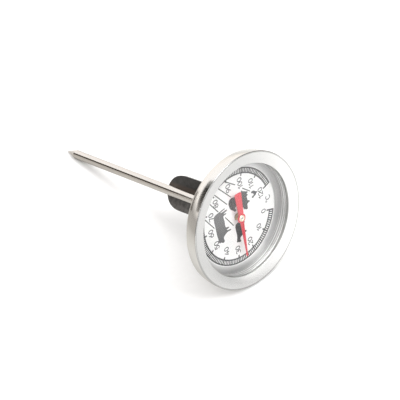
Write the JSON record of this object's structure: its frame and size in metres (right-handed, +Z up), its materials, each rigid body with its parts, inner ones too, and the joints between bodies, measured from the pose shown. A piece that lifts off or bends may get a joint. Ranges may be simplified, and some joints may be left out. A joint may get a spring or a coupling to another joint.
{
  "type": "meat thermometer",
  "caption": "Round dial thermometer on a pointed probe, with a turning red pointer under glass and a black clip that slides along the probe, for reading roast temperatures.",
  "frame": {"origin": "centre of the bounding box, on the table the part lies on", "axes": "+Z up; +Y along the table from the dial toward the probe's tip; the dial looks toward -Y and leans back by 13.6 degrees, with the scale's 12 o'clock side toward -X"},
  "size_m": [0.057, 0.1224, 0.056],
  "materials": {
    "bezel_steel": "stainless sheet, satin turned finish",
    "lens_glass": "clear, flat, polished",
    "seal_silicone": "pale grey silicone, matt",
    "seal_rubber": "black, matt",
    "turned_steel": "turned, fine lines round the axis",
    "rim_steel": "polished cove",
    "dial_white": "white enamel with dark grey print",
    "case_steel": "drawn stainless sheet, satin",
    "boss_steel": "turned stainless",
    "probe_steel": "drawn stainless tube, polished",
    "bearing_brass": "turned",
    "bimetal": "rolled bimetal strip",
    "spindle_steel": "drawn wire",
    "pointer_red": "red enamel, satin",
    "eyelet_brass": "pale brass, satin",
    "spring_steel": "rolled spring strip",
    "clip_black": "moulded black plastic, satin"
  },
  "bodies": {
    "case": {"bezel_ring": "bezel_steel", "lens": "lens_glass", "lens_gasket": "seal_silicone", "spacer_ring": "turned_steel", "rim_ring": "rim_steel", "dial_plate": "dial_white", "case_pan": "case_steel", "rear_boss": "boss_steel", "boss_seal": "seal_rubber", "boss_nut": "boss_steel", "stem_tube": "probe_steel", "tip_plug": "probe_steel", "coil_anchor": "bearing_brass", "lower_guide": "bearing_brass", "upper_guide": "bearing_brass", "bimetal_coil": "bimetal"},
    "movement": {"coil_hub": "bearing_brass", "spindle": "spindle_steel", "thrust_collar": "bearing_brass", "pointer": "pointer_red", "pointer_eyelet": "eyelet_brass"},
    "sleeve": {"clip_sleeve": "spring_steel"},
    "clip": {"pot_clip": "clip_black"}
  },
  "joints": [
    {"name": "pointer_turn", "type": "hinge", "parent": "case", "child": "movement", "pos_m": [0, -0.05063, 0.02747], "axis": [0, 0.9719, -0.2352], "range_deg": [-72.9, 251.1], "stiffness_Nm_per_rad": 0.00005, "deforming": ["bimetal_coil"]},
    {"name": "clip_slide", "type": "slide", "parent": "case", "child": "sleeve", "axis": [0, 0.9719, -0.2352], "range_m": [0, 0.05]},
    {"name": "clip_turn", "type": "hinge", "parent": "sleeve", "child": "clip", "pos_m": [0, -0.03362, 0.02335], "axis": [0, 0.9719, -0.2352], "continuous": true}
  ]
}
